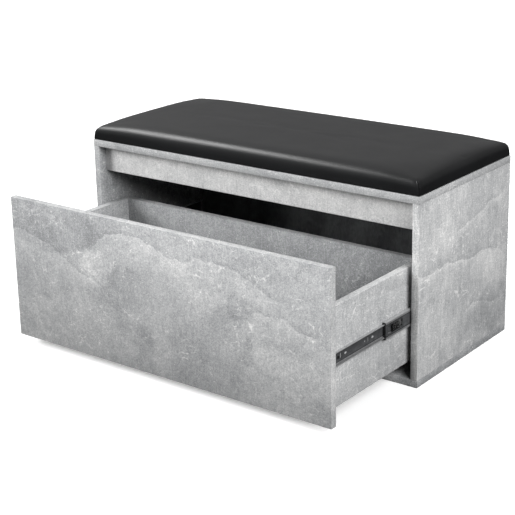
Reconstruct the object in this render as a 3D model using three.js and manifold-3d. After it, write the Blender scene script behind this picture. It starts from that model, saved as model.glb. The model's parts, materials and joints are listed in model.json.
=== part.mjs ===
// Entryway bench: a flat-pack box of melamine board with a padded seat on top and one wide drawer that
// runs on ball-bearing slides. Lengths are millimetres. X runs along the bench, -Y is its front, +Z is up.
// The origin is on the floor, at the centre of the carcass's footprint. Every piece of the drawer is placed
// as if the drawer were shut, and its group then stands pulled out by drawerOpen.

import * as THREE from "three";
import { mergeVertices } from "three/addons/utils/BufferGeometryUtils.js";
import Module from "manifold-3d";

const wasm = await Module();
wasm.setup();

// ---------- Driving dimensions ----------

// Carcass
const width = 900;
const depth = 395;
const carcassHeight = 416;
const board = 16; // every melamine board
const thinBoard = 3; // hardboard of the back panel and of the drawer's bottom
const grooveDepth = 6; // how far hardboard is let into melamine board
const clearance = 0.3; // between a piece and the cut-out that holds it
const backInset = 12; // melamine left behind the back panel
const railSetback = 23;
const railHeight = 63;

// Seat
const padHeight = 40;
const padRounding = 15;
const padLift = 0.2; // the cover's underside above the top panel
const coverThickness = 1.2;
const coverHem = 35; // cover turned in under the base board
const baseBoard = 9;

// Drawer
const frontGap = 2; // around the drawer front
const frontHeight = 329;
const drawerSideLength = 352;
const drawerSideHeight = 210;
const drawerSideBottom = 50;
const drawerFloor = 62; // underside of the drawer's bottom
const drawerOpen = 290;

// Slides: "out" is measured from the carcass side panel towards the drawer, and "rise" from the slide's
// centre line.
const slideWidth = 12.7;
const slideHeight = 154;
const slideLength = 350;
const slideSetback = 2; // behind the drawer front's back face
const middleSetback = 35; // front end of the middle member behind the cabinet member's
const sheet = 1.2;
const ballRadius = 1.5;
const cageLength = 110;
const cageSheet = 0.5;
const cageBalls = 4; // in each of a cage's two rows

// Fineness of round shapes
const screwSides = 12;
const camSides = 20;
const slotEndSides = 10;
const padArcSteps = 4; // in each quarter turn

// Share of the drawer's travel that each part of a slide makes
const middleShare = 0.5;
const outerCageShare = 0.25;
const innerCageShare = 0.75;

// ---------- Places worked out from them ----------

const front = -depth / 2;
const back = depth / 2;
const innerX = width / 2 - board; // inner face of a side panel
const topUnderside = carcassHeight - board;
const backPanelY = back - backInset - clearance - thinBoard;
const railBottom = topUnderside - railHeight;
const drawerFrontBack = front + board; // back face of the shut drawer front
const drawerFrontBottom = board + frontGap;
const drawerOuterX = innerX - slideWidth;
const drawerInnerX = drawerOuterX - board;
const drawerRear = drawerFrontBack + drawerSideLength;
const drawerSideTop = drawerSideBottom + drawerSideHeight;
const slideFront = drawerFrontBack + slideSetback;

// ---------- Materials ----------

function finish(color, roughness, metalness) {
  return new THREE.MeshStandardMaterial({ color, roughness, metalness });
}

const concrete = () => finish(0xa9aaab, 0.62, 0);
const hardboard = () => finish(0x6f7072, 0.8, 0);
const fauxLeather = () => finish(0x2b2c2e, 0.42, 0);
const foam = () => finish(0xe6e2d2, 0.95, 0);
const fibreboard = () => finish(0xb08a5c, 0.85, 0);
const zincSteel = () => finish(0x8d9094, 0.35, 1);
const blackPlastic = () => finish(0x1d1e20, 0.5, 0);
const screwSteel = () => finish(0xb9bbbd, 0.3, 1);
const zincAlloy = () => finish(0x9fa2a6, 0.45, 1);

// ---------- Solids ----------

const mergeDistance = 1e-4;

function toSolid(geometry) {
  const bare = geometry.index ? geometry.toNonIndexed() : geometry.clone();
  bare.deleteAttribute("normal");
  bare.deleteAttribute("uv");
  const merged = mergeVertices(bare, mergeDistance);
  const corners = merged.index.array;
  const kept = [];
  for (let i = 0; i < corners.length; i += 3) {
    const [a, b, c] = corners.slice(i, i + 3);
    // A lathe closes at its axis with triangles that have no area.
    if (a !== b && b !== c && c !== a) {
      kept.push(a, b, c);
    }
  }
  return new wasm.Manifold(
    new wasm.Mesh({
      numProp: 3,
      vertProperties: merged.attributes.position.array,
      triVerts: new Uint32Array(kept),
    }),
  );
}

function toGeometry(solid) {
  const mesh = solid.getMesh();
  const geometry = new THREE.BufferGeometry();
  geometry.setAttribute("position", new THREE.BufferAttribute(mesh.vertProperties, 3));
  geometry.setIndex(new THREE.BufferAttribute(mesh.triVerts, 1));
  const faceted = geometry.toNonIndexed();
  faceted.computeVertexNormals();
  return faceted;
}

// A box given as three spans. The X span may run either way.
function block([x0, x1], [y0, y1], [z0, z1]) {
  const geometry = new THREE.BoxGeometry(Math.abs(x1 - x0), y1 - y0, z1 - z0);
  geometry.translate((x0 + x1) / 2, (y0 + y1) / 2, (z0 + z1) / 2);
  return toSolid(geometry);
}

const up = new THREE.Vector3(0, 0, 1);

// Stands a geometry made along +Z at a point, with its +Z end facing the direction.
function stand(geometry, point, direction) {
  geometry.applyQuaternion(new THREE.Quaternion().setFromUnitVectors(up, new THREE.Vector3(...direction)));
  geometry.translate(...point);
  return toSolid(geometry);
}

// A round bar whose end at the point faces the direction.
function bar(radius, length, point, direction, sideCount = screwSides) {
  const geometry = new THREE.CylinderGeometry(radius, radius, length, sideCount);
  geometry.rotateX(Math.PI / 2);
  geometry.translate(0, 0, -length / 2);
  return stand(geometry, point, direction);
}

const proudCut = 0.5; // how far a cutter stands out of the face it cuts

// The cutter of a round hole whose mouth, at the point, faces the direction.
function bore(radius, length, point, direction, sideCount = screwSides) {
  const start = point.map((part, i) => part + direction[i] * proudCut);
  return bar(radius, length + proudCut, start, direction, sideCount);
}

// A closed outline of [x, z] points, extruded along Y.
function extrudeY(points, y0, y1) {
  const shape = new THREE.Shape(points.map(([x, z]) => new THREE.Vector2(x, z)));
  const geometry = new THREE.ExtrudeGeometry(shape, { depth: y1 - y0, bevelEnabled: false });
  geometry.rotateX(Math.PI / 2);
  // The turn lays the outline's second coordinate along Z and sends the depth towards -Y.
  geometry.translate(0, y1, 0);
  return toSolid(geometry);
}

// A closed outline of [y, z] points, extruded along X. The X span may run either way.
function extrudeX(points, x0, x1) {
  const shape = new THREE.Shape(points.map(([y, z]) => new THREE.Vector2(y, z)));
  const geometry = new THREE.ExtrudeGeometry(shape, { depth: Math.abs(x1 - x0), bevelEnabled: false });
  const turn = new THREE.Matrix4().makeBasis(
    new THREE.Vector3(0, 1, 0),
    new THREE.Vector3(0, 0, 1),
    new THREE.Vector3(1, 0, 0),
  );
  geometry.applyMatrix4(turn);
  geometry.translate(Math.min(x0, x1), 0, 0);
  return toSolid(geometry);
}

function cutAll(solid, cutters) {
  return cutters.reduce((left, cutter) => left.subtract(cutter), solid);
}

// ---------- Nodes ----------

const bench = new THREE.Group();

// One group for each share of the drawer's travel: 0 is the carcass, 1 the drawer.
const movingGroups = new Map();

function groupFor(share) {
  if (!movingGroups.has(share)) {
    const group = new THREE.Group();
    group.position.y = -drawerOpen * share;
    bench.add(group);
    movingGroups.set(share, group);
  }
  return movingGroups.get(share);
}

function addNode(name, solid, material, share = 0) {
  const mesh = new THREE.Mesh(toGeometry(solid), material);
  mesh.name = name;
  groupFor(share).add(mesh);
}

const sides = [
  { name: "left", sign: -1 },
  { name: "right", sign: 1 },
];

// ---------- Screws and cam locks ----------

// Each screw is a profile of [radius, depth below the head's top] from the head's rim to the tip.
const confirmatScrew = {
  profile: [[5, 0], [3.2, 3], [3.2, 47], [1.6, 50]],
  socket: { radius: 2.3, depth: 2.6, sides: 6 },
};
const padScrew = {
  profile: [[4, 0], [4, 1.8], [2, 2.2], [2, 22], [0.6, 24.5]],
  cross: { width: 1, reach: 5, depth: 1.2 },
};
const slideScrew = {
  profile: [[3.4, 0], [3.4, 1.2], [1.6, 1.6], [1.6, 13.4], [0.5, 15]],
  cross: { width: 0.8, reach: 4, depth: 0.9 },
};

// Turns [radius, height] points, listed from the bottom up, about +Z.
function turned(points) {
  const profile = points.map(([radius, height]) => new THREE.Vector2(radius, height));
  return new THREE.LatheGeometry(profile, screwSides).rotateX(Math.PI / 2);
}

function screwBody(screw, point, direction) {
  const outline = screw.profile.map(([radius, below]) => [radius, -below]).reverse();
  const tip = outline[0][1];
  return stand(turned([[0, tip], ...outline, [0, 0]]), point, direction);
}

// Two crossed slots for a screwdriver. Each is centred on the surface, so half of it stands in the air.
function crossCut({ width: wide, reach, depth: deep }, point, direction) {
  return [[wide, reach], [reach, wide]].map(([across, along]) =>
    stand(new THREE.BoxGeometry(across, along, deep * 2), point, direction),
  );
}

// The recess in the head, where the driver goes.
function driverRecess(screw, point, direction) {
  if (screw.socket) {
    const { radius, depth: deep, sides: sideCount } = screw.socket;
    return [bore(radius, deep, point, direction, sideCount)];
  }
  return crossCut(screw.cross, point, direction);
}

function addScrew(name, screw, point, direction, share = 0) {
  const solid = cutAll(screwBody(screw, point, direction), driverRecess(screw, point, direction));
  addNode(name, solid, screwSteel(), share);
}

// The cutter of the hole a screw sits in: its body grown by the clearance, standing out above the head.
function screwHole(screw, point, direction) {
  const outline = screw.profile.map(([radius, below]) => [radius + clearance, -below]).reverse();
  const [tipRadius, tip] = outline[0];
  const headRadius = screw.profile[0][0] + clearance;
  const below = [[0, tip - clearance], [tipRadius, tip - clearance]];
  const above = [[headRadius, proudCut], [0, proudCut]];
  return stand(turned([...below, ...outline, ...above]), point, direction);
}

// A cam lock is a disc sunk flush in a board. Its bolt runs from the board's end to the disc, through a bore
// that goes on into the neighbouring board as the bolt's pilot hole.
const cam = { radius: 7.4, depth: 12.4, cross: { width: 1.6, reach: 9, depth: 3 } };
const camFromEdge = 34;
const camBolt = { boreRadius: 3.5, pilotRadius: 2.5, pilotDepth: 11 };

function camDisc(point, direction) {
  const disc = bar(cam.radius, cam.depth, point, direction, camSides);
  return cutAll(disc, crossCut(cam.cross, point, direction));
}

function camPocket(point, direction) {
  return bore(cam.radius + clearance, cam.depth + clearance, point, direction, camSides);
}

// The bolt's bore in the board that holds the cam: mouth at the board's end, facing the neighbour.
function boltBore(mouth, towardNeighbour) {
  return bore(camBolt.boreRadius, camFromEdge, mouth, towardNeighbour);
}

// The bolt's pilot hole in the neighbour, whose mouth faces back to the board that holds the cam.
function boltPilot(mouth, towardNeighbour) {
  const toCam = towardNeighbour.map((part) => -part);
  return bore(camBolt.pilotRadius, camBolt.pilotDepth, mouth, toCam);
}

// Where each connector sits, with the cam's own point on the face it is sunk in.
const sideMiddleX = width / 2 - board / 2;
const carcassFastenerInset = 60;
const drawerFastenerInset = 45;
const fastenerY = { front: front + carcassFastenerInset, back: back - carcassFastenerInset };
const drawerFastenerZ = {
  lower: drawerSideBottom + drawerFastenerInset,
  upper: drawerSideTop - drawerFastenerInset,
};

const topCams = [];
const bottomScrews = [];
for (const side of sides) {
  for (const [place, y] of Object.entries(fastenerY)) {
    topCams.push({
      name: `top_cam_${side.name}_${place}`,
      side,
      point: [side.sign * innerX, y, topUnderside - camFromEdge],
      direction: [-side.sign, 0, 0],
      mouth: [side.sign * sideMiddleX, y, topUnderside],
      toward: [0, 0, 1],
    });
    bottomScrews.push({
      name: `bottom_confirmat_${side.name}_${place}`,
      side,
      point: [side.sign * sideMiddleX, y, 0],
      direction: [0, 0, -1],
    });
  }
}

const railMiddleZ = topUnderside - railHeight / 2;
const railBack = front + railSetback + board;
const railCams = sides.map((side) => ({
  name: `rail_cam_${side.name}`,
  side,
  point: [side.sign * (innerX - camFromEdge), railBack, railMiddleZ],
  direction: [0, 1, 0],
  mouth: [side.sign * innerX, railBack - board / 2, railMiddleZ],
  toward: [side.sign, 0, 0],
}));

const drawerCams = [];
const drawerBackScrews = [];
for (const side of sides) {
  for (const [place, z] of Object.entries(drawerFastenerZ)) {
    drawerCams.push({
      name: `drawer_cam_${side.name}_${place}`,
      side,
      point: [side.sign * drawerInnerX, drawerFrontBack + camFromEdge, z],
      direction: [-side.sign, 0, 0],
      mouth: [side.sign * (drawerInnerX + board / 2), drawerFrontBack, z],
      toward: [0, -1, 0],
    });
    drawerBackScrews.push({
      name: `drawer_confirmat_${side.name}_${place}`,
      side,
      point: [side.sign * drawerOuterX, drawerRear - board / 2, z],
      direction: [side.sign, 0, 0],
    });
  }
}

function camCuts(cams) {
  return cams.flatMap((one) => [camPocket(one.point, one.direction), boltBore(one.mouth, one.toward)]);
}

function pilotCuts(cams) {
  return cams.map((one) => boltPilot(one.mouth, one.toward));
}

function on(side, list) {
  return list.filter((one) => one.side === side);
}

// ---------- Slide screws ----------

// Places along a slide member, from its front end, of the two screws that hold it.
const screwStations = { front: 18, rear: 306 };
const headAboveWeb = 1.6;

const slideScrews = [];
for (const side of sides) {
  for (const [place, station] of Object.entries(screwStations)) {
    slideScrews.push({
      name: `cabinet_slide_screw_${side.name}_${place}`,
      side,
      holds: "cabinet",
      point: [side.sign * (innerX - sheet - headAboveWeb), slideFront + station, slideHeight],
      direction: [-side.sign, 0, 0],
    });
    slideScrews.push({
      name: `drawer_slide_screw_${side.name}_${place}`,
      side,
      holds: "drawer",
      point: [side.sign * (drawerOuterX + sheet + headAboveWeb), slideFront + station, slideHeight],
      direction: [side.sign, 0, 0],
    });
  }
}

function slideScrewHoles(side, holds) {
  return on(side, slideScrews)
    .filter((one) => one.holds === holds)
    .map((one) => screwHole(slideScrew, one.point, one.direction));
}

// ---------- Carcass ----------

// The slot around the back panel, cut in every carcass board that meets it.
function backGroove() {
  const reachX = innerX + grooveDepth + clearance;
  return block(
    [-reachX, reachX],
    [backPanelY - clearance, backPanelY + thinBoard + clearance],
    [board - grooveDepth - clearance, topUnderside + grooveDepth + clearance],
  );
}

function bottomPanel() {
  const panel = block([-width / 2, width / 2], [front, back], [0, board]);
  const holes = bottomScrews.map((one) => screwHole(confirmatScrew, one.point, one.direction));
  return cutAll(panel, [backGroove(), ...holes]);
}

const padScrewX = 300;
const padScrewY = 110;
const padScrewHead = 2.2; // head below the top panel
const padScrews = [-1, 1].flatMap((signX) =>
  [-1, 1].map((signY) => ({
    name: `seat_screw_${signX < 0 ? "left" : "right"}_${signY < 0 ? "front" : "back"}`,
    point: [signX * padScrewX, signY * padScrewY, topUnderside - padScrewHead],
    direction: [0, 0, -1],
  })),
);

function padScrewHoles() {
  return padScrews.map((one) => screwHole(padScrew, one.point, one.direction));
}

function topPanel() {
  const panel = block([-width / 2, width / 2], [front, back], [topUnderside, carcassHeight]);
  return cutAll(panel, [backGroove(), ...pilotCuts(topCams), ...padScrewHoles()]);
}

function sidePanel(side) {
  const panel = block([side.sign * innerX, (side.sign * width) / 2], [front, back], [board, topUnderside]);
  return cutAll(panel, [
    backGroove(),
    ...camCuts(on(side, topCams)),
    ...pilotCuts(on(side, railCams)),
    ...on(side, bottomScrews).map((one) => screwHole(confirmatScrew, one.point, one.direction)),
    ...slideScrewHoles(side, "cabinet"),
  ]);
}

function frontRail() {
  const rail = block([-innerX, innerX], [front + railSetback, railBack], [railBottom, topUnderside]);
  return cutAll(rail, camCuts(railCams));
}

function backPanel() {
  const reachX = innerX + grooveDepth;
  return block(
    [-reachX, reachX],
    [backPanelY, backPanelY + thinBoard],
    [board - grooveDepth, topUnderside + grooveDepth],
  );
}

addNode("bottom_panel", bottomPanel(), concrete());
addNode("top_panel", topPanel(), concrete());
for (const side of sides) {
  addNode(`side_panel_${side.name}`, sidePanel(side), concrete());
}
addNode("front_rail", frontRail(), concrete());
addNode("back_panel", backPanel(), hardboard());
for (const one of [...topCams, ...railCams]) {
  addNode(one.name, camDisc(one.point, one.direction), zincAlloy());
}
for (const one of bottomScrews) {
  addScrew(one.name, confirmatScrew, one.point, one.direction);
}
for (const one of padScrews) {
  addScrew(one.name, padScrew, one.point, one.direction);
}

// ---------- Seat ----------

const padBottom = carcassHeight + padLift;
const baseBottom = padBottom + coverThickness + clearance;
const baseTop = baseBottom + baseBoard;
const padTop = carcassHeight + padHeight;

// A rectangle with round corners, centred on the origin.
function roundedPlan(halfX, halfY, radius) {
  const plan = new THREE.Shape();
  plan.absarc(halfX - radius, radius - halfY, radius, -Math.PI / 2, 0);
  plan.absarc(halfX - radius, halfY - radius, radius, 0, Math.PI / 2);
  plan.absarc(radius - halfX, halfY - radius, radius, Math.PI / 2, Math.PI);
  plan.absarc(radius - halfX, radius - halfY, radius, Math.PI, (3 * Math.PI) / 2);
  return plan;
}

const padCoreRounding = 1;

// The pad's outer shape, drawn in from its faces by a margin: a block with round upright corners and a round
// upper edge. Its lower edge is square.
function padShape(margin, low, high) {
  const radius = padRounding - margin;
  const core = roundedPlan(width / 2 - margin - radius, depth / 2 - margin - radius, padCoreRounding);
  // The bevel grows the core by its radius, which rounds the upper edge too.
  const geometry = new THREE.ExtrudeGeometry(core, {
    depth: high - low,
    bevelThickness: radius,
    bevelSize: radius,
    bevelSegments: padArcSteps,
    curveSegments: padArcSteps,
  });
  geometry.translate(0, 0, low - radius);
  const aboveLow = block([-width, width], [-depth, depth], [low, high + proudCut]);
  return toSolid(geometry).intersect(aboveLow);
}

function seatCover() {
  const outside = padShape(0, padBottom, padTop);
  const hollow = padShape(coverThickness, baseBottom - clearance, padTop - coverThickness);
  const openX = width / 2 - coverHem;
  const openY = depth / 2 - coverHem;
  const mouth = block([-openX, openX], [-openY, openY], [padBottom - proudCut, baseBottom]);
  return cutAll(outside, [hollow, mouth]);
}

function seatFoam() {
  return padShape(coverThickness + clearance, baseTop, padTop - coverThickness - clearance);
}

function seatBase() {
  const inset = coverThickness + 2 * clearance;
  const plan = roundedPlan(width / 2 - inset, depth / 2 - inset, padRounding);
  const geometry = new THREE.ExtrudeGeometry(plan, {
    depth: baseBoard,
    bevelEnabled: false,
    curveSegments: padArcSteps,
  });
  geometry.translate(0, 0, baseBottom);
  return cutAll(toSolid(geometry), padScrewHoles());
}

addNode("seat_cover", seatCover(), fauxLeather());
addNode("seat_foam", seatFoam(), foam());
addNode("seat_base", seatBase(), fibreboard());

// ---------- Drawer ----------

// The slot around the drawer's bottom, cut in the four boards that meet it.
function floorGroove() {
  const reachX = drawerInnerX + grooveDepth + clearance;
  return block(
    [-reachX, reachX],
    [drawerFrontBack - grooveDepth - clearance, drawerRear - board + grooveDepth + clearance],
    [drawerFloor - clearance, drawerFloor + thinBoard + clearance],
  );
}

function drawerFront() {
  const halfX = innerX - frontGap;
  const frontTop = drawerFrontBottom + frontHeight;
  const panel = block([-halfX, halfX], [front, drawerFrontBack], [drawerFrontBottom, frontTop]);
  return cutAll(panel, [floorGroove(), ...pilotCuts(drawerCams)]);
}

function drawerSide(side) {
  const panel = block(
    [side.sign * drawerInnerX, side.sign * drawerOuterX],
    [drawerFrontBack, drawerRear],
    [drawerSideBottom, drawerSideTop],
  );
  return cutAll(panel, [
    floorGroove(),
    ...camCuts(on(side, drawerCams)),
    ...on(side, drawerBackScrews).map((one) => screwHole(confirmatScrew, one.point, one.direction)),
    ...slideScrewHoles(side, "drawer"),
  ]);
}

function drawerBack() {
  const panel = block(
    [-drawerInnerX, drawerInnerX],
    [drawerRear - board, drawerRear],
    [drawerSideBottom, drawerSideTop],
  );
  const holes = drawerBackScrews.map((one) => screwHole(confirmatScrew, one.point, one.direction));
  return cutAll(panel, [floorGroove(), ...holes]);
}

function drawerBottom() {
  const reachX = drawerInnerX + grooveDepth;
  return block(
    [-reachX, reachX],
    [drawerFrontBack - grooveDepth, drawerRear - board + grooveDepth],
    [drawerFloor, drawerFloor + thinBoard],
  );
}

addNode("drawer_front", drawerFront(), concrete(), 1);
for (const side of sides) {
  addNode(`drawer_side_${side.name}`, drawerSide(side), concrete(), 1);
}
addNode("drawer_back", drawerBack(), concrete(), 1);
addNode("drawer_bottom", drawerBottom(), hardboard(), 1);
for (const one of drawerCams) {
  addNode(one.name, camDisc(one.point, one.direction), zincAlloy(), 1);
}
for (const one of drawerBackScrews) {
  addScrew(one.name, confirmatScrew, one.point, one.direction, 1);
}

// ---------- Slides ----------

// A channel's section: its web's outer face at one "out", its flanges' edges at another, and a lip along each
// edge, turned in or out.
const cabinetChannel = { web: 0, edge: 9.6, half: 23, lip: 0.8, lipOut: false };
const middleChannel = { web: 3.7, edge: 11.2, half: 18.5, lip: 0.8, lipOut: false };
const drawerChannel = { web: slideWidth, edge: 6, half: 14, lip: 0.9, lipOut: true };

// The upper half of a section, from the web's outer corner round the lip to its inner corner, as [out, rise].
function upperSection({ web, edge, half, lip, lipOut }, wall) {
  const step = Math.sign(edge - web) * wall;
  if (lipOut) {
    return [
      [web, half],
      [edge - step, half],
      [edge - step, half + lip],
      [edge, half + lip],
      [edge, half - wall],
      [web + step, half - wall],
    ];
  }
  return [
    [web, half],
    [edge, half],
    [edge, half - wall - lip],
    [edge - step, half - wall - lip],
    [edge - step, half - wall],
    [web + step, half - wall],
  ];
}

function channel(side, section, wall, y0, y1) {
  const upper = upperSection(section, wall);
  const lower = upper.map(([out, rise]) => [out, -rise]).reverse();
  const outline = [...upper, ...lower].map(([out, rise]) => [side.sign * (innerX - out), slideHeight + rise]);
  return extrudeY(outline, y0, y1);
}

const webCutReach = 2 * sheet; // how far a cutter reaches to each side of a web's middle

// The cutter of a square-ended opening through a web, around a point at y on the slide's centre line.
function webWindow(side, out, y, { halfLength, halfHeight }) {
  const x = side.sign * (innerX - out);
  return block(
    [x - webCutReach, x + webCutReach],
    [y - halfLength, y + halfLength],
    [slideHeight - halfHeight, slideHeight + halfHeight],
  );
}

// The cutter of a round hole through a web.
function webHole(side, out, y, radius) {
  const mouth = [side.sign * (innerX - out) + webCutReach, y, slideHeight];
  return bar(radius, 2 * webCutReach, mouth, [1, 0, 0], slotEndSides);
}

// The cutter of a lengthwise slot with round ends.
function webSlot(side, out, y, { halfLength, halfHeight }) {
  const straight = halfLength - halfHeight;
  const middle = webWindow(side, out, y, { halfLength: straight, halfHeight });
  const ends = [-1, 1].map((sign) => webHole(side, out, y + sign * straight, halfHeight));
  return ends.reduce((whole, end) => whole.add(end), middle);
}

// Hole groups of the drawer member, 97 mm apart: a round hole, an upright slot and a lengthwise slot. The
// front group's round hole is the one that holds a screw.
const holeGroupStations = [18, 115, 212];
const roundHoleRadius = 2.3;
const uprightSlot = { behind: 11, halfLength: 1.3, halfHeight: 5 };
const lengthwiseSlot = { behind: 28, halfLength: 4.5, halfHeight: 2.4 };

function drawerMemberHoles(side) {
  const web = slideWidth - sheet / 2;
  return holeGroupStations.flatMap((station, index) => {
    const y = slideFront + station;
    const slots = [
      webWindow(side, web, y + uprightSlot.behind, uprightSlot),
      webSlot(side, web, y + lengthwiseSlot.behind, lengthwiseSlot),
    ];
    return index === 0 ? slots : [webHole(side, web, y, roundHoleRadius), ...slots];
  });
}

const cabinetSlot = { stations: [80, 176, 272], halfLength: 5, halfHeight: 2.4 };

function cabinetMember(side) {
  const member = channel(side, cabinetChannel, sheet, slideFront, slideFront + slideLength);
  const slots = cabinetSlot.stations.map((station) =>
    webSlot(side, sheet / 2, slideFront + station, cabinetSlot),
  );
  return cutAll(member, [...slideScrewHoles(side, "cabinet"), ...slots]);
}

const middleFront = slideFront + middleSetback;
const catchWindow = { behind: 36, halfLength: 28, halfHeight: 9.5 };

function middleMember(side) {
  const member = channel(side, middleChannel, sheet, middleFront, slideFront + slideLength);
  const web = middleChannel.web + sheet / 2;
  return member.subtract(webWindow(side, web, middleFront + catchWindow.behind, catchWindow));
}

function drawerMember(side) {
  const member = channel(side, drawerChannel, sheet, slideFront, slideFront + slideLength);
  return cutAll(member, [...slideScrewHoles(side, "drawer"), ...drawerMemberHoles(side)]);
}

// A cage is a bent strip that holds a row of balls above and a row below. Its start is measured from the
// slide's front end.
const outerCage = {
  name: "outer",
  web: 3,
  edge: 7.5,
  rise: 20.15,
  ballOut: 5.4,
  start: 112,
  share: outerCageShare,
};
const innerCage = {
  name: "inner",
  web: 5.1,
  edge: 10.2,
  rise: 15.65,
  ballOut: 8.6,
  start: 137,
  share: innerCageShare,
};
const ballSides = { around: 8, up: 5 };

function ballCage(side, cage) {
  const section = { web: cage.web, edge: cage.edge, half: cage.rise + cageSheet / 2, lip: 0, lipOut: false };
  const y0 = slideFront + cage.start;
  const strip = channel(side, section, cageSheet, y0, y0 + cageLength);
  const pitch = cageLength / cageBalls;
  const rows = [-1, 1].flatMap((sign) =>
    Array.from({ length: cageBalls }, (_, index) => {
      const ball = new THREE.SphereGeometry(ballRadius, ballSides.around, ballSides.up);
      ball.translate(
        side.sign * (innerX - cage.ballOut),
        y0 + pitch * (index + 0.5),
        slideHeight + sign * cage.rise,
      );
      return toSolid(ball);
    }),
  );
  return rows.reduce((whole, ball) => whole.add(ball), strip);
}

// A plastic clip over the middle member's front end: a rim in front of the sheet and a thin lining inside it.
const clipRim = { web: middleChannel.web, edge: 9.8, half: middleChannel.half, lip: 0, lipOut: false };
const clipLining = { web: 5.1, edge: 9.8, half: 17.1, lip: 0, lipOut: false };
const clipRimWall = 1.6;
const clipLiningWall = 0.7;
const clipProud = 2.3; // in front of the middle member
const clipReach = 6; // into it

function middleEndStop(side) {
  const rimBack = middleFront - clearance;
  const rim = channel(side, clipRim, clipRimWall, middleFront - clipProud, rimBack);
  const lining = channel(side, clipLining, clipLiningWall, rimBack - clipLiningWall, middleFront + clipReach);
  return rim.add(lining);
}

// The lever that frees the drawer member: a plastic tongue on a rivet, which meets the clip when the slide is
// fully out. Its outline is [place along it, rise].
const leverStation = 210;
const leverOut = { outer: 6.4, inner: 9.4, rivetEnd: 11.3 };
const rivet = { radius: 2.6, station: 37 };
const leverHalf = [[0, 2.5], [2, 6], [12, 6], [15, 2.5], [30, 2.5], [32, 5], [44, 5]];

function releaseLever(side) {
  const y0 = slideFront + leverStation;
  const lower = leverHalf.map(([along, rise]) => [along, -rise]).reverse();
  const outline = [...leverHalf, ...lower].map(([along, rise]) => [y0 + along, slideHeight + rise]);
  const outerX = side.sign * (innerX - leverOut.outer);
  const tongue = extrudeX(outline, outerX, side.sign * (innerX - leverOut.inner));
  const post = bar(
    rivet.radius,
    leverOut.rivetEnd - leverOut.outer,
    [outerX, y0 + rivet.station, slideHeight],
    [side.sign, 0, 0],
  );
  return tongue.add(post);
}

for (const side of sides) {
  addNode(`cabinet_member_${side.name}`, cabinetMember(side), zincSteel());
  addNode(`middle_member_${side.name}`, middleMember(side), zincSteel(), middleShare);
  addNode(`middle_end_stop_${side.name}`, middleEndStop(side), blackPlastic(), middleShare);
  addNode(`drawer_member_${side.name}`, drawerMember(side), zincSteel(), 1);
  addNode(`release_lever_${side.name}`, releaseLever(side), blackPlastic(), 1);
  for (const cage of [outerCage, innerCage]) {
    addNode(`${cage.name}_ball_cage_${side.name}`, ballCage(side, cage), zincSteel(), cage.share);
  }
}
for (const one of slideScrews) {
  addScrew(one.name, slideScrew, one.point, one.direction, one.holds === "drawer" ? 1 : 0);
}

export default bench;
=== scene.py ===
# Looks of the entryway bench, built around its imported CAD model. Lengths are metres. X runs along the bench,
# -Y is its front and +Z is up. The origin is on the floor, at the centre of the carcass's footprint.

import json
import math

import bmesh
import bpy
import numpy as np
from mathutils import Matrix, Vector

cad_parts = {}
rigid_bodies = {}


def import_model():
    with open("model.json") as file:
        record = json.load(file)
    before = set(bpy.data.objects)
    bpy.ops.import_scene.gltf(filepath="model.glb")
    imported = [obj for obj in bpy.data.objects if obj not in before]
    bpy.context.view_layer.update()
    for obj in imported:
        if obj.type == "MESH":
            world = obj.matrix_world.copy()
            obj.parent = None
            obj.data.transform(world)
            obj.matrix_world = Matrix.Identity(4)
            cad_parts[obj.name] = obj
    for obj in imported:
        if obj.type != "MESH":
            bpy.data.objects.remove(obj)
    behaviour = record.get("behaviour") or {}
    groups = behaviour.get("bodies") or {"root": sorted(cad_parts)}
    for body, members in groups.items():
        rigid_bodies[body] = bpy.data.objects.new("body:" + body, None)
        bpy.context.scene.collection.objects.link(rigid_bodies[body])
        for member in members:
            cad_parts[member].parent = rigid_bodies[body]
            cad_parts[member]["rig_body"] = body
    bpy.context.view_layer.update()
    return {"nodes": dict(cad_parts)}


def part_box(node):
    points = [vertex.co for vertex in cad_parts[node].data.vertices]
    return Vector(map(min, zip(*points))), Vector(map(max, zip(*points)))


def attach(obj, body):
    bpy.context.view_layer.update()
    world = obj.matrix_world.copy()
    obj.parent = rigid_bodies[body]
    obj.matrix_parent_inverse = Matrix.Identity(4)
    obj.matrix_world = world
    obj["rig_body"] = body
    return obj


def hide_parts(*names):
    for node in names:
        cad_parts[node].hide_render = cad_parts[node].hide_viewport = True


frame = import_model()

MM = 0.001


# ---------- Camera ----------

CAMERA_AZIMUTH = math.radians(37.59)
CAMERA_ELEVATION = math.radians(16.78)
CAMERA_ROLL = math.radians(-1.24)
CAMERA_DISTANCE = 3.185
CAMERA_AIM = Vector((-0.1134, 0.0025, 0.2540))
CAMERA_LENS = 92.98
CAMERA_SHIFT_Y = -0.10


def make_camera():
    data = bpy.data.cameras.new("camera")
    data.lens = CAMERA_LENS
    data.sensor_width = 36
    data.shift_y = CAMERA_SHIFT_Y
    data.clip_start = 0.1
    data.clip_end = 60
    camera = bpy.data.objects.new("camera", data)
    bpy.context.scene.collection.objects.link(camera)
    level = math.cos(CAMERA_ELEVATION)
    back = Vector((
        math.sin(CAMERA_AZIMUTH) * level,
        -math.cos(CAMERA_AZIMUTH) * level,
        math.sin(CAMERA_ELEVATION),
    ))
    right = Vector((math.cos(CAMERA_AZIMUTH), math.sin(CAMERA_AZIMUTH), 0))
    turn = Matrix((right, back.cross(right), back)).transposed()
    roll = Matrix.Rotation(CAMERA_ROLL, 3, "Z")
    camera.matrix_world = Matrix.Translation(CAMERA_AIM + back * CAMERA_DISTANCE) @ (turn @ roll).to_4x4()
    bpy.context.scene.camera = camera


# ---------- Light and floor ----------

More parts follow.
